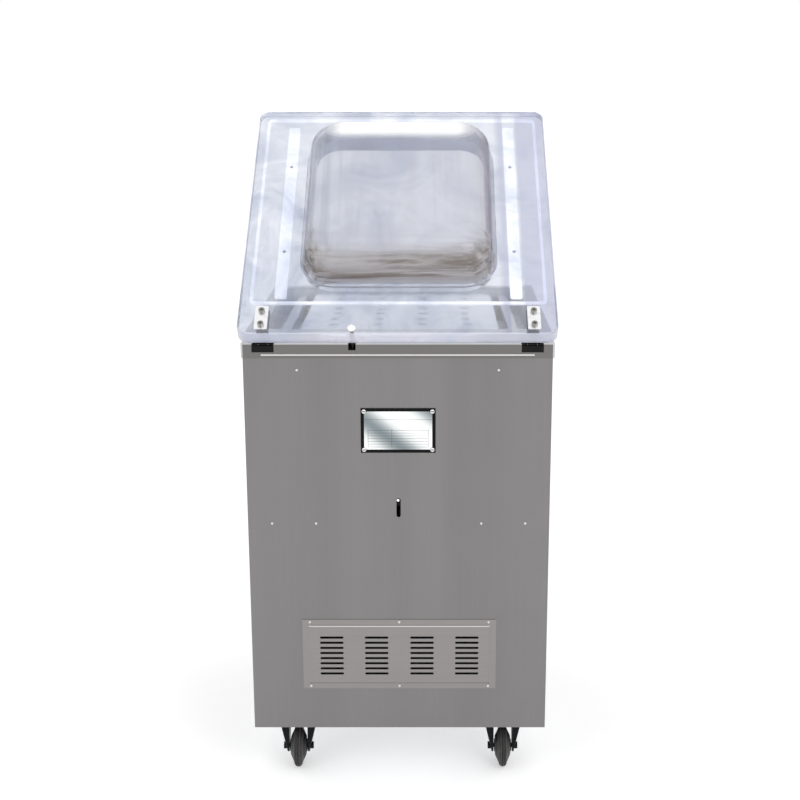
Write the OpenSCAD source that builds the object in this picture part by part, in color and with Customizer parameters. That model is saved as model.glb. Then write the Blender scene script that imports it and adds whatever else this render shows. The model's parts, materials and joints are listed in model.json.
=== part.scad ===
// Floor-standing chamber vacuum packing machine. +Z up, floor at Z = 0.
// The operator stands at -Y, the lid is hinged at the rear (+Y) and is drawn open.

/* [Cabinet] */
// Width of the cabinet across its side panels
body_w = 500; // [490:1:510]
// Depth of the cabinet from front panel to rear panel
body_d = 536; // [536:1:540]
// Height of the panels' lower edge above the floor
foot_z = 103; // [103:1:103]
// Height of the panels' upper edge above the floor
panel_top_z = 755; // [750:1:755]
// Thickness of the sheet steel
sheet = 1.5; // [1.2:0.1:1.8]
// How far the deck stands out past the panels
deck_lip = 3; // [2:0.5:4]

/* [Lid] */
// Width of the clear lid
lid_w = 516; // [512:1:520]
// Length of the clear lid, rear edge to front edge
lid_l = 532; // [530:1:534]
// Thickness of the lid's flat rim
lid_t = 25; // [22:1:26]
// Angle of the open lid above level
lid_open = 38.5; // [36:0.5:40]
// Height of the dome above the rim
dome_h = 72; // [68:1:74]

/* [Rear panel] */
// Width of the louvred cover
louvre_w = 328; // [320:1:336]
// Height of the louvred cover
louvre_h = 126; // [120:1:130]
// Number of louvre slots in a column
louvre_rows = 8; // [6:1:9]

/* [Casters] */
// Radius of a caster wheel
wheel_r = 37.5; // [36:0.5:38]
// Distance from the swivel axis to the wheel's axle
caster_trail = 24; // [20:1:26]

/* [Hidden] */
$fn = 48;
half_w = body_w / 2;
half_d = body_d / 2;
deck_z = panel_top_z + 23;
deck_half_w = half_w + deck_lip;
deck_half_d = half_d + deck_lip;
inner_w = half_w - sheet - 0.1;
inner_d = half_d - sheet - 0.1;
gap = 0.1;

// Hinge line of the lid
hinge_y = half_d - 8;
hinge_z = deck_z - 3;
hinge_x = 217;
lid_rear = hinge_y + 3;
lid_under = hinge_z + 7;
lid_top = lid_under + lid_t;
lid_mid_y = lid_rear - lid_l / 2;
lid_corner_r = 18;

// Dome drawn up from the lid: its foot, its steep side and its rounded crown
dome_w = 325;
dome_l = 352;
dome_foot_r = 55;
dome_mid_y = lid_rear - 278;
dome_wall = 9;
dome_lean = 6;
crown_r = 42;

// Hinge plates and the bolts that clamp them
plate_x = hinge_x + 2;
bolt_backs = [16, 44];
bolt_hole_r = 4.2;

// Rearmost point of the open lid, which the front controls match
rear_reach = hinge_y + 3 * cos(lid_open) + (7 + lid_t) * sin(lid_open);

// Chamber well in the deck
well_w = 456;
well_rear = 177;
well_front = -243;
well_l = well_rear - well_front;
well_y = (well_rear + well_front) / 2;
tray_floor_z = deck_z - 54;
bar_x = 194;
bar_l = 408;
bar_top_z = deck_z - 14;
lift_y = 150;

// Pressed bead along the deck's rear skirt
bead_r = 1.6;
bead_l = 440;

// Yoke, strut and adjuster that hold the lid up
yoke_y = -25;
yoke_z = -45;
bar_r = 6;
leaf_t = 3.6;
bar_open_y = hinge_y + yoke_y * cos(lid_open) + yoke_z * sin(lid_open);
bar_open_z = hinge_z - yoke_y * sin(lid_open) + yoke_z * cos(lid_open);
anchor_y = half_d - 20;
anchor_z = 514.5;
strut_l = norm([bar_open_y - anchor_y, bar_open_z - anchor_z]);
strut_a = atan2(anchor_y - bar_open_y, bar_open_z - anchor_z);
slot_z = 501.5;
slot_w = 7;
slot_h = 33;

// Trigger bolt and microswitch
trigger_x = 73.5;
trigger_y = hinge_y - 7;
stem_h = 9;

// Louvred cover
louvre_z = 240;
louvre_rim = 11;
slot_l = 39.5;
slot_t = 4;
slot_pitch = 9.4;
louvre_cols = [-114.5, -38.5, 38.5, 114.5];

// Nameplate
plate_w = 122;
plate_h = 75;
plate_z = 634;
plate_screw_x = plate_w / 2 - 5.2;
plate_screw_z = plate_h / 2 - 5.2;

// Operator's fascia
fascia_w = 370;
fascia_h = 140;
fascia_z = 650;
fascia_y = -half_d - 3;
gauge_x = -125;
estop_x = 140;
rocker_x = 80;
button_x = [-20, 20];
button_z = 620;

// Casters
caster_x = 181;
caster_y = [-208, 184];
axle_z = wheel_r;
axle_half = 26.3;
side_half = 13.3;
tread_r = 7;
axle_bore_r = 3.95;
hub_r = 11;
rim_r = 17;

// Pump set on the base tray
pump_y = -35;
pump_z = 205;
port_x = 60;

// ---------- helpers ----------

// Box between two corners
module box(a, b) {
    translate(a)
        cube(b - a);
}

// Rounded rectangle centred on the origin
module rounded(w, d, r) {
    square([w - 2 * r, d], center = true);
    square([w, d - 2 * r], center = true);
    for (sx = [-1, 1], sy = [-1, 1])
        translate([sx * (w / 2 - r), sy * (d / 2 - r)])
            circle(r);
}

// Round bar along X, centred on a point
module bar_along_x(p, r, l) {
    translate(p)
        rotate([0, 90, 0])
            cylinder(r = r, h = l, center = true);
}

// Round bar along Y from a starting height y0 to y1
module bar_along_y(x, z, r, y0, y1) {
    translate([x, y0, z])
        rotate([-90, 0, 0])
            cylinder(r = r, h = y1 - y0);
}

// Turns a piece drawn for the closed lid to the open position
module opened() {
    translate([0, hinge_y, hinge_z])
        rotate([-lid_open, 0, 0])
            translate([0, -hinge_y, -hinge_z])
                children();
}

// Domed screw head facing +Y, with its slot
module screw_head(x, y, z, r, side = 1) {
    translate([x, y, z])
        rotate([-90 * side, 0, 0])
            difference() {
                union() {
                    cylinder(r = r, h = 0.8);
                    translate([0, 0, 0.8])
                        cylinder(r1 = r, r2 = r * 0.7, h = 0.9);
                }
                translate([-r, -0.4, 1])
                    cube([2 * r, 0.8, 1]);
            }
}

// ---------- cabinet ----------

module base_tray() {
    color("silver")
        difference() {
            box([-inner_w, -inner_d, foot_z], [inner_w, inner_d, foot_z + 20]);
            box([-inner_w + sheet, -inner_d + sheet, foot_z + 3],
                [inner_w - sheet, inner_d - sheet, foot_z + 21]);
        }
}

module rear_panel() {
    color("gray")
        difference() {
            box([-half_w, half_d - sheet, foot_z], [half_w, half_d, panel_top_z]);
            translate([0, half_d - 2 * sheet, slot_z])
                rotate([-90, 0, 0])
                    linear_extrude(4 * sheet)
                        rounded(slot_w, slot_h, slot_w / 2 - 0.05);
            box([-louvre_w / 2 + 20, half_d - 2 * sheet, louvre_z - louvre_h / 2 + 18],
                [louvre_w / 2 - 20, half_d + sheet, louvre_z + louvre_h / 2 - 18]);
        }
}

module front_panel() {
    color("gray")
        difference() {
            box([-half_w, -half_d, foot_z], [half_w, -half_d + sheet, panel_top_z]);
            box([-fascia_w / 2 + 15, -half_d - sheet, fascia_z - fascia_h / 2 + 10],
                [fascia_w / 2 - 15, -half_d + 2 * sheet, fascia_z + fascia_h / 2 - 10]);
        }
}

module side_panel(s) {
    x0 = s > 0 ? half_w - sheet : -half_w;
    color("gray")
        difference() {
            box([x0, -half_d + sheet + gap, foot_z], [x0 + sheet, half_d - sheet - gap, panel_top_z]);
            if (s > 0)
                bar_along_x([half_w, 200, 160], 8.2, 20);
        }
}

module side_panel_left() {
    side_panel(-1);
}

module side_panel_right() {
    side_panel(1);
}

module deck() {
    color("lightgray") {
        difference() {
            translate([0, 0, panel_top_z])
                linear_extrude(deck_z - panel_top_z)
                    rounded(2 * deck_half_w, 2 * deck_half_d, 6);
            translate([0, 0, panel_top_z - 1])
                linear_extrude(deck_z - panel_top_z - sheet + 1)
                    rounded(2 * deck_half_w - 2 * sheet, 2 * deck_half_d - 2 * sheet, 4.5);
            translate([0, well_y, panel_top_z])
                linear_extrude(50)
                    rounded(well_w, well_l, 22);
            for (s = [-1, 1])
                box([s * hinge_x - 17.8, hinge_y - 10.5, hinge_z - 10.3],
                    [s * hinge_x + 17.8, deck_half_d + 1, deck_z + 1]);
            translate([trigger_x, trigger_y, deck_z - 5])
                cylinder(r = 8, h = 10);
            box([trigger_x - 6, trigger_y, deck_z - 10], [trigger_x + 6, deck_half_d + 1, deck_z + 1]);
        }
        bar_along_x([0, deck_half_d - 0.3, deck_z - 17.5], bead_r, bead_l);
    }
}

module upper_frame() {
    color("dimgray") {
        difference() {
            box([-inner_w, -inner_d, 742], [inner_w, 196, deck_z - sheet - gap]);
            box([-inner_w + 10, -inner_d + 10, 741], [inner_w - 10, 184, deck_z]);
        }
    }
}

module chamber_tray() {
    color("silver")
        difference() {
            translate([0, well_y, tray_floor_z])
                linear_extrude(deck_z - sheet - gap - tray_floor_z)
                    rounded(well_w + 5, well_l + 5, 24);
            translate([0, well_y, tray_floor_z + sheet])
                linear_extrude(60)
                    rounded(well_w + 2, well_l + 2, 22.5);
            translate([port_x, pump_y, tray_floor_z - 1])
                cylinder(r = 12, h = 4);
        }
}

module filler_plate() {
    color("whitesmoke")
        difference() {
            union() {
                translate([0, well_y, deck_z - 20])
                    linear_extrude(8)
                        rounded(340, 412, 18);
                for (sx = [-1, 1], sy = [-1, 1])
                    translate([sx * 150, well_y + sy * 185, tray_floor_z + sheet + gap])
                        cylinder(r = 10, h = 34 - sheet);
            }
            for (x = [-116, -39, 39, 116], row = [-3 : 3])
                translate([x, well_y + row * 52, deck_z - 25])
                    cylinder(r = 9, h = 20);
        }
}

// ---------- rear details ----------

module louvre_cover() {
    y0 = half_d + 0.05;
    color("darkgray")
        difference() {
            union() {
                box([-louvre_w / 2, y0, louvre_z - louvre_h / 2],
                    [louvre_w / 2, y0 + 1, louvre_z + louvre_h / 2]);
                translate([0, y0 + 0.5, louvre_z])
                    rotate([-90, 0, 0])
                        linear_extrude(2)
                            rounded(louvre_w - 2 * louvre_rim, louvre_h - 2 * louvre_rim, 3);
            }
            for (x = louvre_cols, row = [0 : louvre_rows - 1])
                translate([x, y0 - 1, louvre_z - 2 + (row - (louvre_rows - 1) / 2) * slot_pitch])
                    rotate([-90, 0, 0])
                        linear_extrude(5)
                            rounded(slot_l, slot_t, 1.5);
        }
}

module nameplate() {
    color("silver")
        difference() {
            box([-plate_w / 2, half_d + 0.05, plate_z - plate_h / 2],
                [plate_w / 2, half_d + 1.3, plate_z + plate_h / 2]);
            difference() {
                box([-plate_w / 2 + 5, half_d + 1, plate_z - plate_h / 2 + 5],
                    [plate_w / 2 - 5, half_d + 2, plate_z + plate_h / 2 - 5]);
                for (sx = [-1, 1], sz = [-1, 1])
                    bar_along_y(sx * plate_screw_x, plate_z + sz * plate_screw_z, 4.6, half_d, half_d + 3);
            }
        }
}

module nameplate_screws() {
    color("dimgray")
        for (sx = [-1, 1], sz = [-1, 1])
            screw_head(sx * plate_screw_x, half_d + 1.35, plate_z + sz * plate_screw_z, 3.7);
}

module panel_screws() {
    color("lightgray") {
        for (s = [-1, 1]) {
            screw_head(s * 163, half_d + 0.05, 735, 2.6);
            screw_head(s * 137, half_d + 0.05, 474, 2.4);
            screw_head(s * 210, half_d + 0.05, 474, 2.4);
        }
        for (x = [-151, 0, 151], s = [-1, 1])
            screw_head(x, half_d + 1.1, louvre_z + s * 58.5, 2.4);
        for (sx = [-1, 1], sz = [-1, 1])
            screw_head(sx * (fascia_w / 2 - 8), fascia_y - 0.05, fascia_z + sz * (fascia_h / 2 - 8), 3, -1);
    }
}

// ---------- hinge, yoke and strut ----------

module hinge_blocks() {
    color("#181818")
        for (s = [-1, 1])
            difference() {
                union() {
                    for (c = [-1, 1]) {
                        box([s * hinge_x + c * 12.75 - 4.5, hinge_y - 10, hinge_z - 10],
                            [s * hinge_x + c * 12.75 + 4.5, half_d + 3.5, hinge_z]);
                        box([s * hinge_x + c * 12.75 - 4.5, hinge_y - 10, hinge_z - 32],
                            [s * hinge_x + c * 12.75 + 4.5, inner_d, hinge_z - 9.9]);
                        bar_along_x([s * hinge_x + c * 12.75, hinge_y, hinge_z], 6.4, 9);
                    }
                    box([s * hinge_x - 17.25, half_d + 0.5, hinge_z - 10],
                        [s * hinge_x + 17.25, half_d + 3.5, hinge_z]);
                }
                bar_along_x([s * hinge_x, hinge_y, hinge_z], 3.55, 40);
            }
}

module hinge_pins() {
    color("silver")
        for (s = [-1, 1])
            bar_along_x([s * hinge_x, hinge_y, hinge_z], 3.5, 34);
}

module hinge_yoke() {
    arm_l = norm([yoke_y, yoke_z]);
    arm_a = atan2(yoke_y, -yoke_z);
    color("#202020")
        opened()
            difference() {
                union() {
                    for (s = [-1, 1]) {
                        bar_along_x([s * hinge_x, hinge_y, hinge_z], 6.2, 15);
                        translate([s * hinge_x, hinge_y, hinge_z])
                            rotate([arm_a, 0, 0])
                                translate([-7.5, -4, -arm_l - 6])
                                    cube([15, 8, arm_l + 3]);
                        box([s * hinge_x - 7.5, hinge_y - 9.5, hinge_z],
                            [s * hinge_x + 7.5, hinge_y, lid_under - gap]);
                        box([s * (hinge_x + 1) - 9.5, hinge_y - 58, lid_under - leaf_t],
                            [s * (hinge_x + 1) + 9.5, hinge_y - 9, lid_under - gap]);
                    }
                    bar_along_x([0, hinge_y + yoke_y, hinge_z + yoke_z], bar_r, 2 * hinge_x);
                }
                for (s = [-1, 1]) {
                    bar_along_x([s * hinge_x, hinge_y, hinge_z], 3.55, 40);
                    for (d = bolt_backs)
                        translate([s * plate_x, lid_rear - d, lid_under - 10])
                            cylinder(r = bolt_hole_r, h = 20);
                }
            }
}

module strut_adjuster() {
    color("silver") {
        difference() {
            box([-14, anchor_y - 8, anchor_z - 9], [14, half_d - sheet - 0.3, anchor_z + 9]);
            box([-6.6, anchor_y - 9, anchor_z - 10], [6.6, anchor_y + 9.5, anchor_z + 10]);
        }
        bar_along_x([0, anchor_y, anchor_z], 3, 27);
        bar_along_y(0.8, anchor_z, 2.2, half_d - 6, half_d + 0.6);
    }
}

// Places a strut piece along the line from the anchor pin to the cross bar
module along_strut() {
    translate([0, anchor_y, anchor_z])
        rotate([strut_a, 0, 0])
            children();
}

module strut_cylinder() {
    color("#151515")
        along_strut()
            difference() {
                union() {
                    bar_along_x([0, 0, 0], 7, 12);
                    translate([0, 0, 4])
                        cylinder(r = 4.5, h = 12);
                    translate([0, 0, 15])
                        cylinder(r = 9, h = 145);
                }
                bar_along_x([0, 0, 0], 3.05, 20);
                translate([0, 0, 60])
                    cylinder(r = 4.05, h = 120);
            }
}

module strut_rod() {
    color("silver")
        along_strut() {
            difference() {
                union() {
                    translate([0, 0, 100])
                        cylinder(r = 4, h = strut_l - 111);
                    bar_along_x([0, 0, strut_l], 13.5, 14);
                }
                bar_along_x([0, 0, strut_l], 10.5, 20);
            }
        }
}

// ---------- lid ----------

// One level of the dome, a thin rounded slab at height h, drawn in by a distance
module dome_level(h, inset) {
    translate([0, dome_mid_y, lid_top + h])
        linear_extrude(0.2)
            rounded(dome_w - 2 * inset, dome_l - 2 * inset, dome_foot_r - inset * 0.5, $fn = 32);
}

// Level of the rounded crown at an angle around its arc
module crown_level(a, wall) {
    dome_level(dome_h - crown_r * (1 - sin(a)) - wall, dome_lean + crown_r * (1 - cos(a)) + wall);
}

// Solid dome shape, smaller all round by the wall thickness
module dome_solid(wall) {
    hull() {
        dome_level(-6, wall);
        crown_level(0, wall);
    }
    for (a = [0, 45])
        hull() {
            crown_level(a, wall);
            crown_level(a + 45, wall);
        }
}

module lid() {
    color("aliceblue", 0.4)
        opened()
            difference() {
                union() {
                    translate([0, lid_mid_y, lid_under])
                        linear_extrude(lid_t)
                            rounded(lid_w, lid_l, lid_corner_r);
                    dome_solid(0);
                }
                dome_solid(dome_wall);
                translate([0, dome_mid_y, lid_under - 1])
                    linear_extrude(lid_t - 4)
                        rounded(dome_w - 2 * dome_wall, dome_l - 2 * dome_wall, dome_foot_r - 5);
                for (s = [-1, 1], d = bolt_backs)
                    translate([s * plate_x, lid_rear - d, lid_under - 1])
                        cylinder(r = bolt_hole_r, h = lid_t + 2);
                translate([trigger_x, trigger_y, lid_under - 1])
                    cylinder(r = 3.1, h = lid_t + 2);
            }
}

module lid_gasket() {
    ring_w = 488;
    ring_l = 450;
    band = 5;
    color("white")
        opened()
            translate([0, lid_rear - 76 - ring_l / 2, lid_under - 3.8])
                linear_extrude(3.7)
                    difference() {
                        rounded(ring_w, ring_l, 2 * band);
                        rounded(ring_w - 2 * band, ring_l - 2 * band, band);
                    }
}

module pressure_strips() {
    color("white")
        opened()
            for (s = [-1, 1])
                difference() {
                    translate([s * bar_x, well_y - 1, lid_under - 6])
                        linear_extrude(5.9)
                            rounded(19.5, 412, 3);
                    for (t = [-1, 1])
                        translate([s * bar_x, well_y + t * 103, lid_under - 7])
                            cylinder(r = 3.2, h = 10);
                }
}

module strip_screws() {
    color("silver")
        opened()
            for (s = [-1, 1], t = [-1, 1])
                translate([s * bar_x, well_y + t * 103, lid_under - 5.5])
                    cylinder(r = 3.1, h = 5.4);
}

module lid_hinge_plates() {
    color("silver")
        opened()
            for (s = [-1, 1])
                difference() {
                    translate([s * plate_x, lid_rear - 30.5, lid_top + gap])
                        linear_extrude(3)
                            rounded(21, 49, 2);
                    for (d = bolt_backs)
                        translate([s * plate_x, lid_rear - d, lid_top - 1])
                            cylinder(r = bolt_hole_r, h = 10);
                }
}

module lid_bolts() {
    color("silver")
        opened()
            for (s = [-1, 1], d = bolt_backs)
                translate([s * plate_x, lid_rear - d, lid_under - 3.5]) {
                    cylinder(r = 4, h = lid_t + 7);
                    difference() {
                        translate([0, 0, lid_t + 6.7])
                            cylinder(r = 5, h = 4);
                        translate([0, 0, lid_t + 8.4])
                            cylinder(r = 2.6, h = 5, $fn = 6);
                    }
                }
}

module trigger_bolt() {
    color("silver")
        opened()
            translate([trigger_x, trigger_y, lid_under - 10]) {
                cylinder(r = 3, h = lid_t + 11);
                translate([0, 0, lid_t + 10.1])
                    cylinder(r = 6.5, h = 1.4);
                translate([0, 0, lid_t + 11.4])
                    cylinder(r1 = 2.4, r2 = 0.6, h = stem_h);
                translate([0, 0, 1])
                    cylinder(r = 5.6, h = 8.8, $fn = 6);
            }
}

// ---------- switch and seal bars ----------

module microswitch() {
    color("black")
        difference() {
            box([trigger_x - 14, trigger_y - 8, hinge_z - 25],
                [trigger_x + 14, trigger_y + 8, hinge_z - 7]);
            translate([trigger_x, trigger_y, hinge_z - 20])
                cylinder(r = 2.6, h = 20);
        }
}

module microswitch_plunger() {
    color("red")
        translate([trigger_x, trigger_y, hinge_z - 15])
            cylinder(r = 2.5, h = 14.6);
}

module seal_bar(s) {
    color("silver") {
        translate([s * bar_x, well_y - 1, bar_top_z - 12])
            linear_extrude(12)
                rounded(16, bar_l, 3);
        for (t = [-1, 1])
            translate([s * bar_x, well_y + t * lift_y, tray_floor_z + 11])
                cylinder(r = 5, h = bar_top_z - 11.5 - tray_floor_z - 11);
    }
}

module seal_bar_left() {
    seal_bar(-1);
}

module seal_bar_right() {
    seal_bar(1);
}

module lift_cylinders() {
    color("goldenrod")
        for (s = [-1, 1], t = [-1, 1])
            difference() {
                translate([s * bar_x, well_y + t * lift_y, tray_floor_z + sheet + gap])
                    cylinder(r = 14, h = 22);
                translate([s * bar_x, well_y + t * lift_y, tray_floor_z + 9])
                    cylinder(r = 5.06, h = 30);
            }
}

module air_hoses() {
    hose_z = tray_floor_z - 14;
    color("steelblue") {
        for (s = [-1, 1]) {
            for (t = [-1, 1])
                translate([s * bar_x, well_y + t * lift_y, hose_z])
                    cylinder(r = 4, h = 13.8);
            bar_along_y(s * bar_x, hose_z, 4, well_y - lift_y, well_y + lift_y);
        }
        bar_along_x([0, 60, hose_z], 4, 2 * bar_x);
    }
}

module solenoid_valves() {
    color("dimgray") {
        box([port_x - 28, pump_y - 28, 640], [port_x + 28, pump_y + 28, 688]);
        translate([port_x, pump_y, 687])
            cylinder(r = 14, h = tray_floor_z - 687 - gap);
        box([-110, pump_y - 18, 668], [-74, pump_y + 18, tray_floor_z - gap]);
        box([-20, 46, 664], [20, 74, tray_floor_z - 18.2]);
    }
}

// ---------- pump set ----------

module vacuum_hose() {
    color("#303030")
        difference() {
            union() {
                translate([port_x, pump_y, 300])
                    cylinder(r = 16, h = 339.8);
                for (z = [312, 622])
                    translate([port_x, pump_y, z])
                        cylinder(r = 18.5, h = 10);
            }
            translate([port_x, pump_y, 290])
                cylinder(r = 12, h = 360);
        }
}

module pump_body() {
    color("slategray") {
        difference() {
            box([-10, pump_y - 70, 142], [130, pump_y + 70, 275]);
            for (i = [0 : 6])
                box([2 + i * 18, pump_y + 64, 150], [10 + i * 18, pump_y + 71, 262]);
        }
        for (sx = [0, 1], sy = [-1, 1])
            box([sx * 110 - 8, pump_y + sy * 62 - 13, 124.1], [sx * 110 + 18, pump_y + sy * 62 + 13, 143]);
        box([129.9, pump_y - 62, 135], [190, pump_y + 62, 262]);
        translate([port_x, pump_y, 274])
            cylinder(r = 15, h = 25.8);
    }
}

module pump_motor() {
    color("royalblue") {
        bar_along_x([-96, pump_y, pump_z], 64, 171.8);
        bar_along_x([-198, pump_y, pump_z], 66, 32);
        for (a = [0 : 30 : 330])
            translate([-96, pump_y, pump_z])
                rotate([a, 0, 0])
                    translate([-70, -2, 60])
                        cube([140, 4, 9]);
        box([-130, pump_y - 25, pump_z + 60], [-60, pump_y + 25, pump_z + 96]);
    }
}

module pump_mounts() {
    color("black")
        for (sx = [0, 1], sy = [-1, 1])
            translate([sx * 110 + 5, pump_y + sy * 62, foot_z + 3.1])
                cylinder(r = 13, h = 17.8);
}

module oil_sight_glass() {
    color("khaki", 0.6)
        bar_along_y(160, 175, 14, pump_y + 62.1, pump_y + 67);
}

module exhaust_filter() {
    color("white")
        translate([168, pump_y, 262.1]) {
            cylinder(r = 20, h = 12);
            translate([0, 0, 11.9])
                cylinder(r = 34, h = 96);
        }
}

module transformer() {
    color("darkorange") {
        box([-190, -232, foot_z + 3.1], [-90, -158, foot_z + 92]);
        box([-172, -246, foot_z + 20], [-108, -144, foot_z + 76]);
    }
}

module control_board() {
    color("seagreen") {
        box([-95, -240, 596], [95, -238, 704]);
        for (x = [-70, -20, 30])
            box([x, -238.1, 620], [x + 30, -222, 660]);
        for (sx = [-1, 1], sz = [-1, 1])
            bar_along_y(sx * 88, fascia_z + sz * 47, 3, fascia_y + 3.1, -239.9);
    }
}

// ---------- operator's fascia ----------

module fascia_plate() {
    color("#303840")
        difference() {
            box([-fascia_w / 2, fascia_y, fascia_z - fascia_h / 2],
                [fascia_w / 2, fascia_y + 2.9, fascia_z + fascia_h / 2]);
            bar_along_y(gauge_x, fascia_z, 30.2, fascia_y - 1, fascia_y + 4);
            bar_along_y(estop_x, fascia_z, 10.2, fascia_y - 1, fascia_y + 4);
            for (x = button_x)
                bar_along_y(x, button_z, 8.2, fascia_y - 1, fascia_y + 4);
            box([rocker_x - 10.3, fascia_y - 1, fascia_z - 15.3],
                [rocker_x + 10.3, fascia_y + 4, fascia_z + 15.3]);
        }
}

module gauge_bezel() {
    color("silver")
        difference() {
            union() {
                bar_along_y(gauge_x, fascia_z, 36, fascia_y - 7, fascia_y - 0.1);
                bar_along_y(gauge_x, fascia_z, 30, fascia_y - 0.2, fascia_y + 22);
            }
            bar_along_y(gauge_x, fascia_z, 31.5, fascia_y - 8, fascia_y - 3);
            bar_along_y(gauge_x, fascia_z, 27, fascia_y - 8, fascia_y + 12);
        }
}

module gauge_dial() {
    color("white") {
        bar_along_y(gauge_x, fascia_z, 26.9, fascia_y + 9, fascia_y + 11.9);
        bar_along_y(gauge_x, fascia_z, 1, fascia_y + 4, fascia_y + 9.1);
    }
}

module gauge_needle() {
    color("red")
        difference() {
            union() {
                bar_along_y(gauge_x, fascia_z, 3, fascia_y + 4.5, fascia_y + 6.5);
                translate([gauge_x, fascia_y + 5, fascia_z])
                    rotate([0, -135, 0])
                        box([-0.7, 0, -8], [0.7, 1, 22]);
            }
            bar_along_y(gauge_x, fascia_z, 1.05, fascia_y + 3, fascia_y + 8);
        }
}

module display_window() {
    color("#102030")
        box([-55, fascia_y - 2, fascia_z - 5], [40, fascia_y - 0.05, fascia_z + 45]);
}

module push_button(x) {
    color("green") {
        bar_along_y(x, button_z, 8, fascia_y - 6, fascia_y + 8);
        bar_along_y(x, button_z, 9.5, fascia_y + 8, fascia_y + 10);
    }
}

module vacuum_button() {
    push_button(button_x[0]);
}

module seal_button() {
    push_button(button_x[1]);
}

module power_rocker() {
    color("black")
        translate([rocker_x, fascia_y + 4, fascia_z])
            intersection() {
                box([-10, -10, -15], [10, 6, 15]);
                rotate([0, 90, 0])
                    cylinder(r = 14.2, h = 20, center = true);
                translate([-11, -7, -15])
                    cube([22, 14, 30]);
            }
}

module emergency_stop() {
    color("crimson") {
        bar_along_y(estop_x, fascia_z, 10, -rear_reach + 5, fascia_y + 16);
        bar_along_y(estop_x, fascia_z, 17, -rear_reach, -rear_reach + 5.5);
    }
}

module cable_gland() {
    color("black")
        difference() {
            union() {
                bar_along_x([half_w - 4, 200, 160], 8, 22);
                bar_along_x([half_w + 3.6, 200, 160], 12, 7);
                bar_along_x([half_w - 5.2, 200, 160], 12, 7);
            }
            bar_along_x([half_w, 200, 160], 5, 60);
        }
}

// ---------- casters ----------

module caster_plates() {
    color("silver")
        for (x = [-caster_x, caster_x], y = caster_y) {
            translate([x, y, foot_z - 3.1])
                linear_extrude(3)
                    rounded(72, 72, 6);
            translate([x, y, foot_z - 15])
                cylinder(r = 5, h = 12);
        }
}

module caster_fork(x, y) {
    color("#202428")
        translate([x, y, 0]) {
            difference() {
                union() {
                    translate([0, 0, foot_z - 12])
                        cylinder(r1 = 34, r2 = 28, h = 8);
                    for (s = [-1, 1])
                        hull() {
                            translate([s * 25 - 9, -24, foot_z - 12])
                                cube([18, 50, 2]);
                            bar_along_x([s * 18, caster_trail, axle_z + 2], 13, 3, $fn = 32);
                        }
                }
                translate([0, 0, foot_z - 20])
                    cylinder(r = 5.06, h = 30);
                bar_along_x([0, caster_trail, axle_z], 4.02, 50);
                for (s = [-1, 1])
                    bar_along_x([s * 25, caster_trail, axle_z], 8, 10);
            }
            bar_along_x([0, caster_trail, axle_z], 3.9, 50);
            for (s = [-1, 1])
                translate([s * (axle_half - 3), caster_trail, axle_z])
                    rotate([0, 90, 0])
                        cylinder(r = 7, h = 6, center = true, $fn = 6);
        }
}

module caster_fork_1() {
    caster_fork(-caster_x, caster_y[0]);
}

module caster_fork_2() {
    caster_fork(caster_x, caster_y[0]);
}

module caster_fork_3() {
    caster_fork(-caster_x, caster_y[1]);
}

module caster_fork_4() {
    caster_fork(caster_x, caster_y[1]);
}

// Half profile of a wheel: hub, sides that draw in towards the floor, rounded tread
function wheel_side(s) = [[axle_bore_r, s * (side_half + 1.5)], [hub_r, s * (side_half + 1.5)],
    [hub_r, s * side_half], [rim_r, s * side_half]];
function tread_arc() = [for (a = [90 : -15 : -90])
    [wheel_r - tread_r + tread_r * cos(a), tread_r * sin(a)]];

// Wheel with rings pressed in its sides and tread
module caster_wheel(x, y) {
    sides = wheel_side(1);
    others = wheel_side(-1);
    color("#303436")
        translate([x, y + caster_trail, axle_z])
            rotate([0, 90, 0])
                rotate_extrude($fn = 96)
                    difference() {
                        polygon(concat(sides, tread_arc(), [for (i = [3 : -1 : 0]) others[i]]));
                        for (t = [-1.5 : 1.5])
                            translate([wheel_r - 1.4, t * 3.4 - 0.7])
                                square([2, 1.4]);
                    }
}

module caster_wheel_1() {
    caster_wheel(-caster_x, caster_y[0]);
}

module caster_wheel_2() {
    caster_wheel(caster_x, caster_y[0]);
}

module caster_wheel_3() {
    caster_wheel(-caster_x, caster_y[1]);
}

module caster_wheel_4() {
    caster_wheel(caster_x, caster_y[1]);
}

base_tray();
rear_panel();
front_panel();
side_panel_left();
side_panel_right();
deck();
upper_frame();
chamber_tray();
filler_plate();
louvre_cover();
nameplate();
nameplate_screws();
panel_screws();
hinge_blocks();
hinge_pins();
hinge_yoke();
strut_adjuster();
strut_cylinder();
strut_rod();
lid();
lid_gasket();
pressure_strips();
strip_screws();
lid_hinge_plates();
lid_bolts();
trigger_bolt();
microswitch();
microswitch_plunger();
seal_bar_left();
seal_bar_right();
lift_cylinders();
air_hoses();
solenoid_valves();
vacuum_hose();
pump_body();
pump_motor();
pump_mounts();
oil_sight_glass();
exhaust_filter();
transformer();
control_board();
fascia_plate();
gauge_bezel();
gauge_dial();
gauge_needle();
display_window();
vacuum_button();
seal_button();
power_rocker();
emergency_stop();
cable_gland();
caster_plates();
caster_fork_1();
caster_fork_2();
caster_fork_3();
caster_fork_4();
caster_wheel_1();
caster_wheel_2();
caster_wheel_3();
caster_wheel_4();
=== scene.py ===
"""Looks for the floor-standing vacuum packing machine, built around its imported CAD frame."""
import json
import math

import bmesh
import bpy
from mathutils import Matrix, Vector


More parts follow.
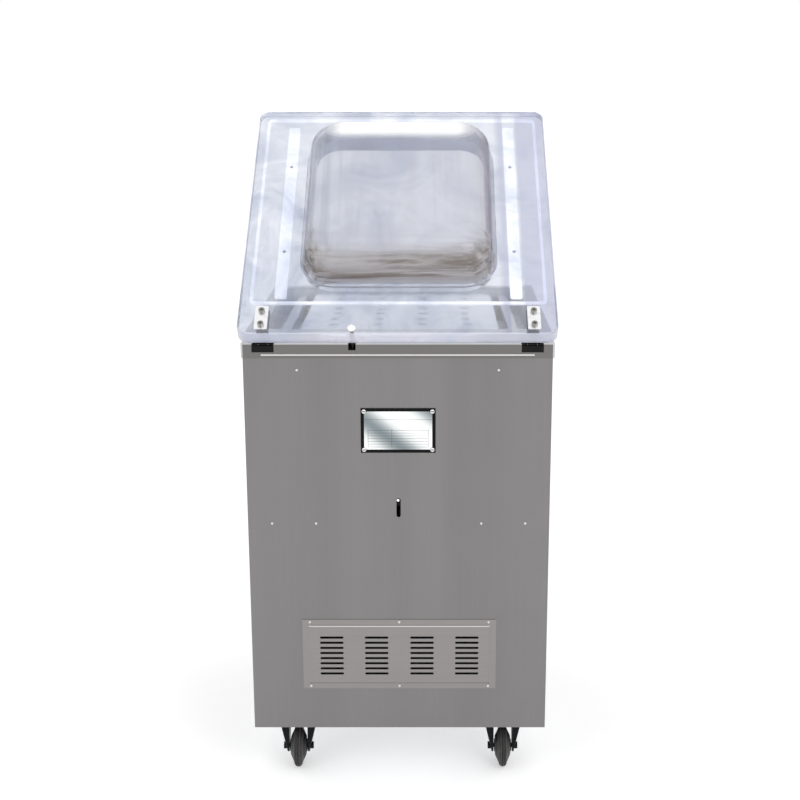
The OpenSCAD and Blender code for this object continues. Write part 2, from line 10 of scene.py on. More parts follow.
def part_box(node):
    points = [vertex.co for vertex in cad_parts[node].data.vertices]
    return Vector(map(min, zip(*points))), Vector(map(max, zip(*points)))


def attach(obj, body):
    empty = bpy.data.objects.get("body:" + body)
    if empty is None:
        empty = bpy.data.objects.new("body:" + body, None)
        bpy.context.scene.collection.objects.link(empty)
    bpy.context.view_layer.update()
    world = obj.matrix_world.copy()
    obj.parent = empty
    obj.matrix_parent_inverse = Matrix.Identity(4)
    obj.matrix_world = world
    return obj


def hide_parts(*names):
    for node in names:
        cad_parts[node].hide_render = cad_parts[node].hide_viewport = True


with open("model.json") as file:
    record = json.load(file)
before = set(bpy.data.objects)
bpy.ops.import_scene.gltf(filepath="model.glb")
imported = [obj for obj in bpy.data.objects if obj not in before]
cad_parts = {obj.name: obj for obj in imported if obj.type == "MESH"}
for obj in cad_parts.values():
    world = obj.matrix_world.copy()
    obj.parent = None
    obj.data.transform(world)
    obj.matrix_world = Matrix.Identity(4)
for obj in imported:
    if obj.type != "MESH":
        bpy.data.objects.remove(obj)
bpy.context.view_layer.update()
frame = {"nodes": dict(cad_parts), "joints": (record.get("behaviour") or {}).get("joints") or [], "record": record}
nodes = frame["nodes"]
joints = {joint["name"]: joint for joint in frame["joints"]}

HINGE = Vector(joints["lid_hinge"]["pos_m"])
LID_OPEN = math.radians(joints["lid_hinge"]["range_deg"][1])
LID_UNDER = 0.007
LID_THICK = 0.025
LID_TOP = LID_UNDER + LID_THICK
LID_WIDTH, LID_LENGTH = 0.516, 0.532

# Where the dome's near wall gives way to its side walls, in metres from the hinge along the lid
NEAR_WALL = (0.185, 0.145)
STRIP_WIDTH = 0.0195

# Noise scales of a brushed grain along each axis, fine streaks and wide bands
FINE_GRAIN = {"X": (4, 900, 900), "Y": (900, 4, 900), "Z": (900, 900, 4)}
WIDE_GRAIN = {"X": (0.4, 9, 9), "Y": (9, 0.4, 9), "Z": (9, 9, 0.4)}


# ---------- helpers ----------

def linear(red, green, blue):
    """Turns screen colour values from 0 to 255 into the linear values that shaders take."""
    def one(value):
        value /= 255
        return value / 12.92 if value <= 0.04045 else ((value + 0.055) / 1.055) ** 2.4
    return (one(red), one(green), one(blue), 1.0)


class Shader:
    """A material and short ways to add nodes to it."""

    def __init__(self, name, colour, metallic=0.0, roughness=0.5):
        self.material = bpy.data.materials.new(name)
        self.material.use_nodes = True
        self.tree = self.material.node_tree
        self.bsdf = self.tree.nodes["Principled BSDF"]
        self.colour = colour
        self.set("Base Color", colour)
        self.set("Metallic", metallic)
        self.set("Roughness", roughness)
        self.coords = self.tree.nodes.new("ShaderNodeTexCoord").outputs["Object"]

    def set(self, socket, value):
        self.bsdf.inputs[socket].default_value = value

    def link(self, source, target):
        self.tree.links.new(source, target)

    def noise(self, scale, detail=4.0, roughness=0.55, distortion=0.0):
        """Noise in metres; scale is cycles per metre, one number or one for each axis."""
        if isinstance(scale, (int, float)):
            scale = (scale, scale, scale)
        mapping = self.tree.nodes.new("ShaderNodeMapping")
        mapping.inputs["Scale"].default_value = scale
        texture = self.tree.nodes.new("ShaderNodeTexNoise")
        texture.inputs["Scale"].default_value = 1.0
        texture.inputs["Detail"].default_value = detail
        texture.inputs["Roughness"].default_value = roughness
        texture.inputs["Distortion"].default_value = distortion
        self.link(self.coords, mapping.inputs["Vector"])
        self.link(mapping.outputs["Vector"], texture.inputs["Vector"])
        return texture.outputs["Fac"]

    def ramp(self, source, low, high, out_low=0.0, out_high=1.0):
        node = self.tree.nodes.new("ShaderNodeMapRange")
        limits = {"From Min": low, "From Max": high, "To Min": out_low, "To Max": out_high}
        for name, value in limits.items():
            node.inputs[name].default_value = value
        self.link(source, node.inputs["Value"])
        return node.outputs["Result"]

    def maths(self, operation, first, second=None):
        node = self.tree.nodes.new("ShaderNodeMath")
        node.operation = operation
        for socket, value in zip(node.inputs, (first, second)):
            if value is None:
                continue
            if isinstance(value, (int, float)):
                socket.default_value = value
            else:
                self.link(value, socket)
        return node.outputs[0]

    def mix(self, factor, first, second):
        node = self.tree.nodes.new("ShaderNodeMix")
        node.data_type = "RGBA"
        self.link(factor, node.inputs["Factor"])
        for socket, value in ((node.inputs[6], first), (node.inputs[7], second)):
            if isinstance(value, tuple):
                socket.default_value = value
            else:
                self.link(value, socket)
        return node.outputs[2]

    def paint(self, factor, other):
        """Mixes another colour over the base colour where the factor is high."""
        linked = self.bsdf.inputs["Base Color"].links
        base = linked[0].from_socket if linked else self.colour
        self.link(self.mix(factor, base, other), self.bsdf.inputs["Base Color"])

    def vary_roughness(self, source, low, high):
        self.link(self.ramp(source, 0.3, 0.7, low, high), self.bsdf.inputs["Roughness"])

    def bump(self, source, distance, strength=1.0):
        node = self.tree.nodes.new("ShaderNodeBump")
        node.inputs["Distance"].default_value = distance
        node.inputs["Strength"].default_value = strength
        self.link(source, node.inputs["Height"])
        previous = self.bsdf.inputs["Normal"].links
        if previous:
            self.link(previous[0].from_socket, node.inputs["Normal"])
        self.link(node.outputs["Normal"], self.bsdf.inputs["Normal"])

    def follow_open_lid(self):
        """Measures from the hinge along the open lid: X across, -Y to its far edge, Z out of it."""
        turn = Matrix.Rotation(LID_OPEN, 3, "X")
        mapping = self.tree.nodes.new("ShaderNodeMapping")
        mapping.inputs["Location"].default_value = -(turn @ HINGE)
        mapping.inputs["Rotation"].default_value = (LID_OPEN, 0, 0)
        self.link(self.coords, mapping.inputs["Vector"])
        self.coords = mapping.outputs["Vector"]

    def both(self, first, second):
        return self.maths("MULTIPLY", first, second)

    def either(self, first, second):
        return self.maths("MAXIMUM", first, second)

    def above(self, source, value):
        return self.maths("GREATER_THAN", source, value)

    def below(self, source, value):
        return self.maths("LESS_THAN", source, value)

    def between(self, source, low, high):
        return self.both(self.above(source, low), self.below(source, high))

    def away(self, source, value):
        """How far the source is from a value, either way."""
        return self.maths("ABSOLUTE", self.maths("SUBTRACT", source, value))

    def average(self, first, second):
        return self.maths("MULTIPLY", self.maths("ADD", first, second), 0.5)

    def radius(self, first, second):
        squares = self.maths("ADD", self.both(first, first), self.both(second, second))
        return self.maths("SQRT", squares)

    def axis(self, name):
        """The X, Y or Z coordinate in metres."""
        node = self.tree.nodes.new("ShaderNodeSeparateXYZ")
        self.link(self.coords, node.inputs[0])
        return node.outputs[name]


def darker(colour, factor):
    return (colour[0] * factor, colour[1] * factor, colour[2] * factor, 1.0)


# ---------- materials ----------

def brushed(name, colour, grain, roughness, contrast=0.12, bands=0.0, metallic=1.0):
    """Brushed sheet: fine streaks along one axis, soft wide bands and faint smudges."""
    shader = Shader(name, colour, metallic=metallic)
    streaks = shader.noise(FINE_GRAIN[grain], detail=5.0, roughness=0.7)
    shader.paint(shader.ramp(streaks, 0.3, 0.7), darker(colour, 1 - contrast))
    if bands:
        wide = shader.noise(WIDE_GRAIN[grain], 3.0)
        shader.paint(shader.ramp(wide, 0.35, 0.7, 0.0, bands), darker(colour, 0.72))
    shader.vary_roughness(shader.average(streaks, shader.noise(14, detail=6.0)), *roughness)
    shader.bump(streaks, 0.00004)
    return shader.material


def polished(name, colour, roughness=(0.08, 0.22)):
    """Bright turned or plated metal with fine wear."""
    shader = Shader(name, colour, metallic=1.0)
    wear = shader.noise(180, detail=6.0)
    shader.paint(shader.ramp(wear, 0.5, 0.75, 0.0, 0.5), darker(colour, 0.6))
    shader.vary_roughness(wear, *roughness)
    shader.bump(shader.noise(1400), 0.00002)
    return shader.material


def enamel(name, colour, roughness=(0.3, 0.45), texture=900, relief=0.00005, gloss=0.5):
    """Painted or powder-coated metal with a fine orange-peel skin and dulled patches."""
    shader = Shader(name, colour)
    patches = shader.noise(20, detail=5.0)
    shader.paint(shader.ramp(patches, 0.45, 0.75, 0.0, 0.5), darker(colour, 0.7))
    shader.vary_roughness(patches, *roughness)
    shader.set("Coat Weight", 0.3 * gloss)
    shader.set("Specular IOR Level", gloss)
    shader.set("Coat Roughness", 0.2)
    shader.bump(shader.noise(texture, detail=3.0), relief)
    return shader.material


def plastic(name, colour, roughness=(0.35, 0.5), relief=0.00004):
    """Moulded plastic with a fine grained skin."""
    shader = Shader(name, colour)
    patches = shader.noise(30, detail=5.0)
    shader.paint(shader.ramp(patches, 0.4, 0.8, 0.0, 0.35), darker(colour, 0.82))
    shader.vary_roughness(patches, *roughness)
    shader.bump(shader.noise(1500, detail=2.0), relief)
    return shader.material


def rubber(name, colour):
    """Dull rubber with paler scuffs."""
    shader = Shader(name, colour, roughness=0.7)
    scuffs = shader.noise(90, detail=7.0)
    shader.paint(shader.ramp(scuffs, 0.5, 0.75, 0.0, 0.6), darker(colour, 1.8))
    shader.vary_roughness(scuffs, 0.5, 0.8)
    shader.bump(shader.noise(700, detail=4.0), 0.0001)
    return shader.material


def paint_sheet(shader, hazy):
    """Paints the reflections, highlight and shade seen on the sheet and its dome, and returns how milky each place
    is.
    """
    across = shader.axis("X")
    along = shader.maths("MULTIPLY", shader.axis("Y"), -1.0)
    height = shader.maths("SUBTRACT", shader.axis("Z"), LID_TOP)
    long_streaks = shader.noise((4, 55, 55), detail=6.0, roughness=0.65, distortion=0.8)
    side_streaks = shader.noise((70, 3, 40), detail=5.0, roughness=0.6, distortion=0.5)

    # The dome but for its far wall, painted greyer for the reflections and shade it shows, with painted streaks of
    # reflection on its +X side
    dome = shader.both(shader.ramp(height, 0.002, 0.01), shader.ramp(along, 0.41, 0.395))
    shader.paint(shader.maths("MULTIPLY", dome, 0.6), linear(188, 191, 203))
    streaked_reflection = shader.both(dome, shader.ramp(across, 0.04, 0.12))
    streaked_reflection = shader.both(streaked_reflection, shader.ramp(side_streaks, 0.48, 0.66))
    shader.paint(shader.maths("MULTIPLY", streaked_reflection, 0.6), linear(168, 176, 190))

    # Its upright walls, with painted reflections brown near the hinge and grey beside, and painted shade on the -X
    # side
    wall = shader.both(shader.ramp(height, 0.002, 0.008), shader.ramp(height, 0.070, 0.050))
    near = shader.both(wall, shader.ramp(along, *NEAR_WALL))
    beside = shader.both(wall, shader.ramp(along, *reversed(NEAR_WALL)))
    shader.paint(shader.maths("MULTIPLY", near, 0.75), linear(178, 173, 172))
    shader.paint(shader.both(near, shader.ramp(long_streaks, 0.47, 0.6)), linear(124, 115, 110))
    shader.paint(shader.both(beside, shader.ramp(side_streaks, 0.47, 0.62)), linear(176, 172, 176))
    shadow_side = shader.both(beside, shader.ramp(across, -0.128, -0.146))
    shader.paint(shader.maths("MULTIPLY", shadow_side, 0.6), linear(142, 132, 148))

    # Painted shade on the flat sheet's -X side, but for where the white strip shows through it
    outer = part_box("pressure_strips")[0].x
    inner = outer + STRIP_WIDTH
    past_strip = shader.ramp(across, outer - 0.001, outer - 0.004)
    before_strip = shader.ramp(across, inner, inner + 0.003)
    before_strip = shader.both(shader.ramp(across, -0.166, -0.176), before_strip)
    shaded_flat_side = shader.either(past_strip, before_strip)
    shader.paint(shader.maths("MULTIPLY", shaded_flat_side, 0.8), linear(196, 199, 217))

    # A painted white highlight on the far bend of the crown
    highlight_band = shader.both(shader.ramp(along, 0.372, 0.394), shader.ramp(along, 0.462, 0.456))
    highlight_band = shader.both(highlight_band, shader.ramp(shader.maths("ABSOLUTE", across), 0.14, 0.1))
    highlight_band = shader.both(highlight_band, shader.ramp(height, 0.044, 0.056))
    shader.paint(highlight_band, (1, 1, 1, 1))
    far_wall = shader.both(shader.ramp(along, 0.402, 0.416), shader.ramp(height, 0.003, 0.01))
    # Milkier where the highlight is painted, on the far wall and on the near wall, so that these show their
    # painted colours
    for place, amount in ((highlight_band, 0.8), (far_wall, 0.3), (near, 0.42)):
        hazy = shader.either(hazy, shader.maths("MULTIPLY", place, amount))
    return hazy


def pass_shadow_rays(shader):
    """Lets light through to what lies below, which a clear solid would otherwise shade."""
    see_through = shader.tree.nodes.new("ShaderNodeBsdfTransparent")
    see_through.inputs["Color"].default_value = linear(249, 250, 252)
    path = shader.tree.nodes.new("ShaderNodeLightPath")
    mixer = shader.tree.nodes.new("ShaderNodeMixShader")
    shader.link(path.outputs["Is Shadow Ray"], mixer.inputs[0])
    shader.link(shader.bsdf.outputs[0], mixer.inputs[1])
    shader.link(see_through.outputs[0], mixer.inputs[2])
    shader.link(mixer.outputs[0], shader.tree.nodes["Material Output"].inputs["Surface"])


def lid_acrylic(name, haze, edge=False):
    """Thick clear acrylic: cool tint, watery clouds, fine scratches, and its cut edge milkier."""
    tint = linear(240, 240, 251) if edge else linear(229, 232, 240)
    shader = Shader(name, tint, roughness=0.03)
    shader.follow_open_lid()
    shader.set("IOR", 1.42)
    clouds = shader.noise(9, detail=5.0, roughness=0.6, distortion=0.9)
    shader.paint(shader.ramp(clouds, 0.42, 0.7), linear(186, 192, 210))
    hazy = shader.maths("MULTIPLY", clouds, haze * 2)
    if not edge:
        hazy = paint_sheet(shader, hazy)
    shader.link(shader.maths("SUBTRACT", 1.0, hazy), shader.bsdf.inputs["Transmission Weight"])
    scratches = shader.noise((240, 18, 240), detail=6.0, roughness=0.7)
    shader.vary_roughness(scratches, 0.02, 0.09)
    shader.bump(shader.noise(11, detail=2.0), 0.0009, 0.6)
    pass_shadow_rays(shader)
    return shader.material


def under_lid_white(name, dust):
    """White trim seen through the sheet, made to glow a little so it stays bright behind the tinted sheet."""
    shader = Shader(name, linear(252, 253, 254), roughness=0.5)
    patches = shader.noise(60, detail=5.0)
    shader.paint(shader.ramp(patches, 0.5, 0.75, 0.0, 0.7), dust)
    shader.vary_roughness(patches, 0.4, 0.6)
    shader.bump(shader.noise(900, detail=3.0), 0.00005)
    # Painted glow: the trim emits light, though it is no lamp
    shader.set("Emission Color", linear(255, 252, 244))
    shader.set("Emission Strength", 0.7)
    return shader.material


def plate_screw_finish(name):
    """Bright screw heads of the nameplate, each with painted shade in its driver slot and round its rim."""
    low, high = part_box("nameplate_screws")
    centre = (low + high) / 2
    head_r, slot_reach, shade_rim_from, slot_half = 0.0037, 0.0026, 0.0034, 0.0008
    reach = (high - low) / 2 - Vector((head_r, 0, head_r))
    shader = Shader(name, linear(236, 236, 236), metallic=0.5, roughness=0.3)
    shader.paint(shader.ramp(shader.noise(900, 4.0), 0.5, 0.75, 0.0, 0.5), linear(160, 160, 162))
    u = shader.maths("SUBTRACT", shader.away(shader.axis("X"), centre.x), reach.x)
    v = shader.maths("SUBTRACT", shader.away(shader.axis("Z"), centre.z), reach.z)
    radius = shader.radius(u, v)
    slot = shader.below(shader.maths("ABSOLUTE", v), slot_half)
    slot = shader.both(slot, shader.below(radius, slot_reach))
    # Painted shade in the driver slot and round the head's rim
    shader.paint(shader.either(slot, shader.above(radius, shade_rim_from)), linear(14, 14, 15))
    shader.vary_roughness(shader.noise(400, 5.0), 0.25, 0.4)
    shader.bump(shader.noise(1400), 0.00002)
    return shader.material


def adjuster_finish(name):
    """Blackened bracket, with the bare steel end of its adjusting bolt behind the slot painted near-white as a
    highlight.
    """
    bolt_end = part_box("rear_panel")[1].y - 0.0008
    shader = Shader(name, linear(8, 8, 9), roughness=0.6)
    shader.set("Specular IOR Level", 0.1)
    shader.paint(shader.ramp(shader.noise(200, 5.0), 0.4, 0.7), linear(20, 20, 21))
    # Painted highlight: the bolt end past the rear panel is near-white
    shader.paint(shader.above(shader.axis("Y"), bolt_end), linear(240, 240, 238))
    shader.vary_roughness(shader.noise(90), 0.5, 0.7)
    shader.bump(shader.noise(700), 0.00003)
    return shader.material


def ribbed_rubber(name):
    """Near-black caster rubber, brown in patches on the raised rings of its tread and sides."""
    pitch = 0.0048
    shader = Shader(name, linear(17, 18, 19), roughness=0.6)
    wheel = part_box("caster_wheel_1")
    middle = abs(wheel[0].x + wheel[1].x) / 2
    off = shader.maths("SUBTRACT", shader.maths("ABSOLUTE", shader.axis("X")), middle)
    rings = shader.maths("SINE", shader.maths("MULTIPLY", off, 2 * math.pi / pitch))
    patchy = shader.ramp(shader.noise(60, 5.0), 0.25, 0.7, 0.5, 1.0)
    shader.paint(shader.both(shader.ramp(rings, -0.2, 0.7), patchy), linear(62, 58, 54))
    shader.vary_roughness(shader.noise(90, 7.0), 0.45, 0.7)
    shader.bump(rings, 0.0003)
    shader.bump(shader.noise(700, 4.0), 0.00008)
    return shader.material


def trigger_finish(name):
    """Steel bolt below the lid, with a white cup and stem above it."""
    shader = Shader(name, linear(120, 120, 120), metallic=0.6, roughness=0.3)
    shader.follow_open_lid()
    shader.paint(shader.ramp(shader.noise(300, 5.0), 0.4, 0.7), linear(70, 70, 72))
    shader.paint(shader.above(shader.axis("Z"), LID_TOP), linear(252, 252, 254))
    shader.vary_roughness(shader.noise(200, 5.0), 0.25, 0.4)
    thread = shader.maths("SINE", shader.maths("MULTIPLY", shader.axis("Z"), 6000))
    shader.bump(thread, 0.0001)
    return shader.material


def louvre_finish(name):
    """Pressed cover: brushed along X, with a painted highlight along its raised field's top edge and painted shade
    along its bottom edge.
    """
    low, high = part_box("louvre_cover")
    colour = linear(145, 142, 141)
    shader = Shader(name, colour, metallic=1.0)
    streaks = shader.noise(FINE_GRAIN["X"], detail=5.0, roughness=0.7)
    shader.paint(shader.ramp(streaks, 0.3, 0.7), darker(colour, 0.94))
    rim, painted_band_height = 0.011, 0.0016
    top, foot = high.z - rim, low.z + rim
    up = shader.axis("Z")
    field = shader.below(shader.maths("ABSOLUTE", shader.axis("X")), high.x - rim)
    top_edge_highlight = shader.between(up, top - painted_band_height, top + 0.0002)
    low_edge_shade = shader.between(up, foot - painted_band_height, foot)
    # Painted highlight on the field's top edge, painted shade on its bottom edge
    shader.paint(shader.both(field, top_edge_highlight), linear(206, 202, 203))
    shader.paint(shader.both(field, low_edge_shade), linear(104, 96, 90))
    shader.vary_roughness(shader.average(streaks, shader.noise(14, 6.0)), 0.34, 0.48)
    shader.bump(streaks, 0.00004)
    return shader.material


def deck_finish(name):
    """Satin deck: pale on top, with painted shade making its skirt darker than the panels, and a painted highlight
    on its bead.
    """
    low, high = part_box("deck")
    pale = linear(196, 197, 200)
    skin, bead = 0.0006, 0.001
    shader = Shader(name, pale, metallic=0.75)
    streaks = shader.noise(FINE_GRAIN["X"], detail=5.0, roughness=0.7)
    shader.paint(shader.ramp(streaks, 0.3, 0.7), darker(pale, 0.92))
    past_side = shader.above(shader.maths("ABSOLUTE", shader.axis("X")), high.x - skin)
    past_end = shader.above(shader.maths("ABSOLUTE", shader.axis("Y")), -low.y - skin)
    below_top = shader.below(shader.axis("Z"), high.z - 0.0004)
    skirt = shader.both(below_top, shader.either(past_side, past_end))
    # Painted shade darkens the skirt, and a painted highlight brightens the rearmost millimetre of the bead
    shader.paint(skirt, linear(112, 110, 109))
    shader.paint(shader.above(shader.axis("Y"), high.y - bead), linear(212, 210, 208))
    shader.vary_roughness(shader.average(streaks, shader.noise(14, 6.0)), 0.24, 0.38)
    shader.bump(streaks, 0.00004)
    return shader.material


def nameplate_finish(name):
    """Silver plate with a black border, a painted diagonal sheen of highlight and shade, and a printed table of
    plain rules.
    """
    low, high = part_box("nameplate")
    centre = (low + high) / 2
    half = (high - low) / 2
    border, line, row = 0.0054, 0.0007, 0.0047
    inner_x, inner_z = half.x - border, half.z - border
    table_half, table_top, table_low = inner_x - 0.006, 0.0022, 0.004 - inner_z
    column_x, header_drop = 0.0105, 0.0135

    shader = Shader(name, linear(205, 209, 210), metallic=0.35, roughness=0.35)
    across = shader.maths("SUBTRACT", shader.axis("X"), centre.x)
    up = shader.maths("SUBTRACT", shader.axis("Z"), centre.z)
    side = shader.maths("ABSOLUTE", across)
    # Painted sheen: diagonal bands of highlight and shade
    slanted = shader.maths("ADD", shader.maths("MULTIPLY", across, -0.8), up)
    sheen = shader.maths("SINE", shader.maths("MULTIPLY", slanted, 62))
    shader.paint(shader.ramp(sheen, -0.2, 1.0), linear(252, 253, 253))
    shader.paint(shader.ramp(sheen, -0.1, -1.0), linear(126, 136, 140))

    # Ten rows are added so that the modulo never meets a negative number
    from_foot = shader.maths("SUBTRACT", up, table_low)
    rows = shader.maths("MODULO", shader.maths("ADD", from_foot, 10 * row), row)
    column = shader.below(shader.away(across, column_x), line / 2)
    table = shader.either(shader.below(rows, line), column)
    table = shader.either(table, shader.above(side, table_half - line))
    table = shader.both(table, shader.below(side, table_half))
    table = shader.both(table, shader.between(up, table_low, table_top))
    header = shader.below(shader.away(up, inner_z - header_drop), 0.0003)
    ink = shader.either(table, shader.both(header, shader.below(side, inner_x)))
    faded = shader.ramp(shader.noise(120), 0.2, 0.8, 0.6, 0.9)
    shader.paint(shader.both(ink, faded), linear(66, 72, 76))
    past_end = shader.above(shader.maths("ABSOLUTE", up), inner_z)
    shader.paint(shader.either(shader.above(side, inner_x), past_end), linear(4, 4, 5))
    shader.set("Specular IOR Level", 0.2)
    shader.vary_roughness(shader.noise(60), 0.25, 0.4)
    return shader.material


def dial_finish(name):
    """Gauge dial: white card with a ring of plain tick marks over its 270 degree scale."""
    low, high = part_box("gauge_dial")
    centre = (low + high) / 2
    scale, divisions = math.radians(270), 30
    shader = Shader(name, linear(236, 236, 230), roughness=0.5)
    x = shader.maths("SUBTRACT", shader.axis("X"), centre.x)
    z = shader.maths("SUBTRACT", shader.axis("Z"), centre.z)
    angle = shader.maths("ARCTAN2", x, z)
    turned = shader.maths("ADD", angle, 10 * math.pi)
    ticks = shader.below(shader.maths("MODULO", turned, scale / divisions), 0.03)
    ring = shader.between(shader.radius(x, z), 0.019, 0.024)
    sweep = shader.below(shader.maths("ABSOLUTE", angle), scale / 2 + math.radians(1))
    shader.paint(shader.both(shader.both(ticks, ring), sweep), linear(20, 20, 20))
    shader.vary_roughness(shader.noise(200), 0.4, 0.6)
    return shader.material


def make_materials():
    """Every finish by name, most of them the material slots of the record."""
    return {
        "panel_steel": brushed("panel_steel", linear(133, 131, 131), "Z", (0.34, 0.48), 0.05, 0.35),
        "tray_steel": brushed("tray_steel", linear(222, 224, 228), "X", (0.4, 0.55), metallic=0.4),
        "deck_steel": deck_finish("deck_steel"),
        "filler_white": plastic("filler_white", linear(236, 240, 244)),
        "louvre_steel": louvre_finish("louvre_steel"),
        "nameplate_metal": nameplate_finish("nameplate_metal"),
        "slotted_screw": plate_screw_finish("slotted_screw"),
        "screw_steel": polished("screw_steel", linear(215, 215, 214)),
        "black_metal": enamel("black_metal", linear(8, 8, 9), (0.35, 0.5), gloss=0.15),
        "bright_steel": polished("bright_steel", linear(246, 246, 247), (0.2, 0.35)),
        "bolt_steel": polished("bolt_steel", linear(150, 150, 148), (0.2, 0.35)),
        "strut_paint": enamel("strut_paint", linear(24, 24, 25)),
        "clear_acrylic": lid_acrylic("clear_acrylic", 0.17),
        "edge_acrylic": lid_acrylic("edge_acrylic", 0.55, edge=True),
        "white_silicone": under_lid_white("white_silicone", linear(240, 241, 246)),
        "white_strip": under_lid_white("white_strip", linear(242, 243, 250)),
        "trigger_steel": trigger_finish("trigger_steel"),
        "adjuster_black": adjuster_finish("adjuster_black"),
        "black_plastic": plastic("black_plastic", linear(30, 30, 31)),
        "red_plastic": plastic("red_plastic", linear(170, 30, 26)),
        "seal_aluminium": brushed("seal_aluminium", linear(206, 207, 210), "Y", (0.3, 0.45),
                                  metallic=0.5),
        "brass_fitting": polished("brass_fitting", linear(205, 176, 110), (0.2, 0.4)),
        "blue_hose": plastic("blue_hose", linear(60, 110, 180)),
        "valve_black": plastic("valve_black", linear(44, 44, 46)),
        "black_hose": rubber("black_hose", linear(34, 34, 35)),
        "cast_pump": enamel("cast_pump", linear(110, 116, 124), (0.45, 0.6), 400, 0.0003),
        "motor_paint": enamel("motor_paint", linear(52, 84, 134)),
        "mount_rubber": rubber("mount_rubber", linear(28, 28, 29)),
        "oil_glass": plastic("oil_glass", linear(206, 178, 96), (0.08, 0.2)),
        "filter_white": enamel("filter_white", linear(216, 216, 212)),
        "copper_winding": polished("copper_winding", linear(176, 104, 60), (0.3, 0.5)),
        "board_green": plastic("board_green", linear(34, 96, 58), (0.2, 0.4)),
        "fascia_paint": enamel("fascia_paint", linear(66, 72, 80)),
        "gauge_chrome": polished("gauge_chrome", linear(220, 220, 220)),
        "dial_white": dial_finish("dial_white"),
        "needle_red": enamel("needle_red", linear(190, 34, 28)),
        "display_dark": plastic("display_dark", linear(16, 24, 32), (0.06, 0.12), 0.00001),
        "green_button": plastic("green_button", linear(52, 146, 78), (0.2, 0.35)),
        "amber_button": plastic("amber_button", linear(226, 150, 44), (0.2, 0.35)),
        "rocker_black": plastic("rocker_black", linear(24, 24, 25), (0.2, 0.35)),
        "stop_red": plastic("stop_red", linear(200, 30, 26), (0.2, 0.35)),
        "fork_black": enamel("fork_black", linear(9, 12, 14), (0.25, 0.4), gloss=0.12),
        "wheel_black": ribbed_rubber("wheel_black"),
        "zinc_plate": polished("zinc_plate", linear(160, 162, 164), (0.35, 0.5)),
    }


# Nodes whose finish differs from the rest of their slot
SPECIAL = {"trigger_bolt": "trigger_steel", "strut_adjuster": "adjuster_black",
           "microswitch_plunger": "black_plastic", "chamber_tray": "tray_steel"}


def dress_nodes(materials):
    """Gives each CAD node its finish."""
    for part in frame["record"]["subparts"]:
        mesh = nodes[part["node"]].data
        mesh.materials.clear()
        mesh.materials.append(materials[SPECIAL.get(part["node"], part["material_slot"])])


# ---------- lid ----------

CORNER_STEPS = 12


def rounded_ring(width, length, radius, height):
    """Points of a rounded rectangle centred on the origin, the same number whatever its size."""
    points = []
    for corner in range(4):
        sx = (1, -1, -1, 1)[corner]
        sy = (1, 1, -1, -1)[corner]
        centre = Vector((sx * (width / 2 - radius), sy * (length / 2 - radius), height))
        for step in range(CORNER_STEPS + 1):
            angle = math.radians(90 * (corner + step / CORNER_STEPS))
            points.append(centre + radius * Vector((math.cos(angle), math.sin(angle), 0)))
    return points


def lofted(name, rings):
    """A closed mesh through rings of points, capped at both ends."""
    mesh = bmesh.new()
    loops = [[mesh.verts.new(point) for point in ring] for ring in rings]
    count = len(rings[0])
    for lower, upper in zip(loops, loops[1:]):
        for i in range(count):
            j = (i + 1) % count
            mesh.faces.new((lower[i], lower[j], upper[j], upper[i]))
    mesh.faces.new(loops[0])
    mesh.faces.new(list(reversed(loops[-1])))
    bmesh.ops.recalc_face_normals(mesh, faces=mesh.faces)
    data = bpy.data.meshes.new(name)
    mesh.to_mesh(data)
    mesh.free()
    for face in data.polygons:
        face.use_smooth = True
    piece = bpy.data.objects.new(name, data)
    bpy.context.scene.collection.objects.link(piece)
    weights = piece.modifiers.new("even_shading", "WEIGHTED_NORMAL")
    weights.mode = "FACE_AREA"
    weights.weight = 100
    return piece


def arc(steps):
    """Angles of a quarter circle, from 0 to 90 degrees."""
    return [math.radians(90 * i / steps) for i in range(steps + 1)]


def open_matrix():
    """Turns a piece made for the closed lid to where the lid stands open."""
    return Matrix.Translation(HINGE) @ Matrix.Rotation(-LID_OPEN, 4, "X") @ Matrix.Translation(-HINGE)


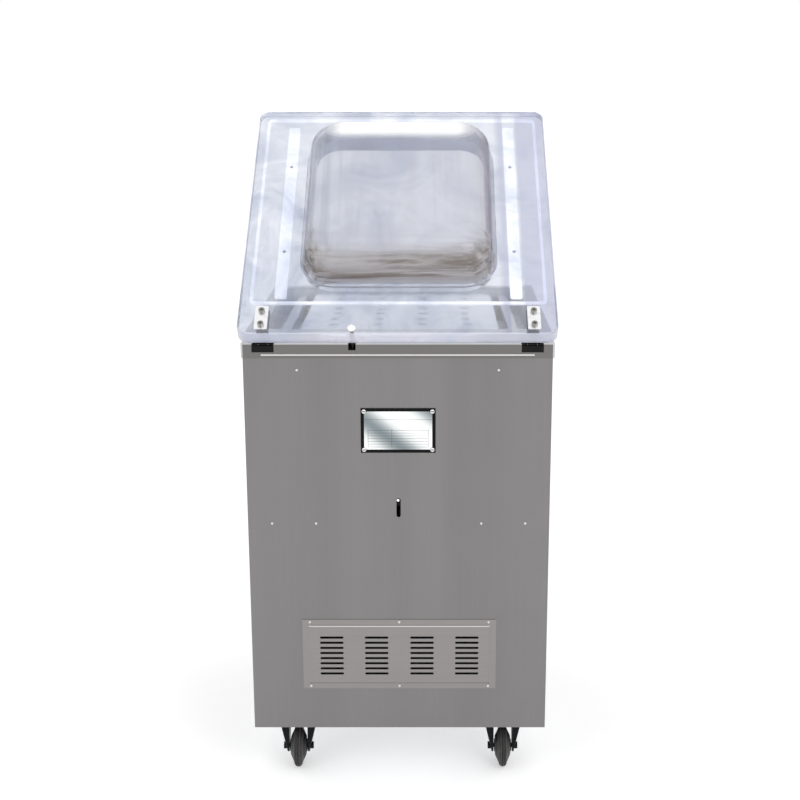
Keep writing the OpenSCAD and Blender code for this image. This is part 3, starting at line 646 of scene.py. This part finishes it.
def lid_shell(materials):
    """One thick clear sheet, its middle raised into a smooth dome."""
    rear = HINGE.y + 0.003
    under = HINGE.z + LID_UNDER
    plate_at = Vector((0, rear - LID_LENGTH / 2, under))
    dome_at = Vector((0, rear - 0.278, under))
    base_w, base_l, base_r, dome_h = 0.325, 0.352, 0.056, 0.0715
    edge, plan_r = 0.0025, 0.018
    foot, crown, lean = 0.004, 0.042, 0.006
    wall, mouth = 0.007, 0.006
    steep, edge_band = 0.6, 0.02
    rings = []

    def plate_ring(inset, height):
        ring = rounded_ring(LID_WIDTH - 2 * inset, LID_LENGTH - 2 * inset, plan_r - inset / 2, height)
        rings.append([point + plate_at for point in ring])

    def dome_ring(inset, height):
        radius = max(base_r - inset / 2, 0.01)
        ring = rounded_ring(base_w - 2 * inset, base_l - 2 * inset, radius, height)
        rings.append([point + dome_at for point in ring])

    # Down the outside from the middle of the crown, round the sheet's edge, and up the inside
    top = LID_THICK + dome_h
    bend = crown - wall
    for inset in (0.11, 0.07):
        dome_ring(inset, top)
    for angle in reversed(arc(8)):
        dome_ring(lean + crown * (1 - math.cos(angle)), top - crown + crown * math.sin(angle))
    for angle in reversed(arc(5)):
        dome_ring(-foot * (1 - math.sin(angle)), LID_THICK + foot * (1 - math.cos(angle)))
    for angle in reversed(arc(4)):
        plate_ring(edge * (1 - math.cos(angle)), LID_THICK - edge + edge * math.sin(angle))
    for angle in arc(4):
        plate_ring(edge * (1 - math.cos(angle)), edge - edge * math.sin(angle))
    for angle in arc(4):
        dome_ring(wall - mouth * (1 - math.sin(angle)), mouth * (1 - math.cos(angle)))
    for angle in arc(8):
        dome_ring(wall + lean + bend * (1 - math.cos(angle)), top - crown + bend * math.sin(angle))
    for inset in (0.07, 0.11):
        dome_ring(inset, top - wall)
    piece = lofted("lid_sheet", rings)
    for finish in ("clear_acrylic", "edge_acrylic"):
        piece.data.materials.append(materials[finish])
    for face in piece.data.polygons:
        centre = face.center - plate_at
        outward = max(abs(centre.x) - LID_WIDTH / 2, abs(centre.y) - LID_LENGTH / 2)
        if abs(face.normal.z) < steep and outward > -edge_band:
            face.material_index = 1
    piece.data.transform(open_matrix())
    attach(piece, "lid")
    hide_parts("lid")


# ---------- stage ----------

def add_floor():
    """Plain pale studio floor, lit evenly enough to leave only a soft contact shadow."""
    bpy.ops.mesh.primitive_plane_add(size=80, location=(0, 0, 0))
    floor = bpy.context.object
    floor.name = "floor"
    shader = Shader("floor_white", (0.72, 0.72, 0.72, 1), roughness=0.85)
    shader.vary_roughness(shader.noise(2), 0.8, 0.9)
    shader.set("Emission Color", (1, 1, 1, 1))
    shader.set("Emission Strength", 0.36)
    floor.data.materials.append(shader.material)


def add_area(name, location, target, size, power):
    """A rectangular soft light aimed at a point."""
    light = bpy.data.lights.new(name, "AREA")
    light.shape = "RECTANGLE"
    light.size, light.size_y = size
    light.energy = power
    holder = bpy.data.objects.new(name, light)
    bpy.context.scene.collection.objects.link(holder)
    holder.location = location
    towards = Vector(target) - Vector(location)
    holder.rotation_euler = towards.to_track_quat("-Z", "Y").to_euler()


def add_lights():
    """Even white surroundings, a key light behind the machine and a weaker fill beside it."""
    world = bpy.data.worlds.new("studio")
    world.use_nodes = True
    background = world.node_tree.nodes["Background"]
    background.inputs["Color"].default_value = (1, 1, 1, 1)
    background.inputs["Strength"].default_value = 1.0
    bpy.context.scene.world = world
    middle = (0, 0, 0.6)
    add_area("key", (-2.2, 3.4, 3.2), middle, (2.0, 2.0), 40)
    add_area("fill", (2.8, 2.6, 1.8), middle, (1.5, 2.5), 18)
    bpy.context.scene.view_settings.view_transform = "Standard"


def add_camera():
    """Camera behind the machine, a little above its deck, looking down at its rear."""
    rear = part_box("rear_panel")[1].y
    side, distance, height, look_down = -0.050, 2.141, 1.219, 14
    camera = bpy.data.cameras.new("camera")
    camera.sensor_width = 36
    camera.lens = 61.2
    camera.shift_x = -0.036
    holder = bpy.data.objects.new("camera", camera)
    bpy.context.scene.collection.objects.link(holder)
    holder.location = (side, rear + distance, height)
    holder.rotation_euler = (math.radians(90 - look_down), 0, math.pi)
    bpy.context.scene.camera = holder


add_camera()
add_lights()
add_floor()
finishes = make_materials()
dress_nodes(finishes)
lid_shell(finishes)
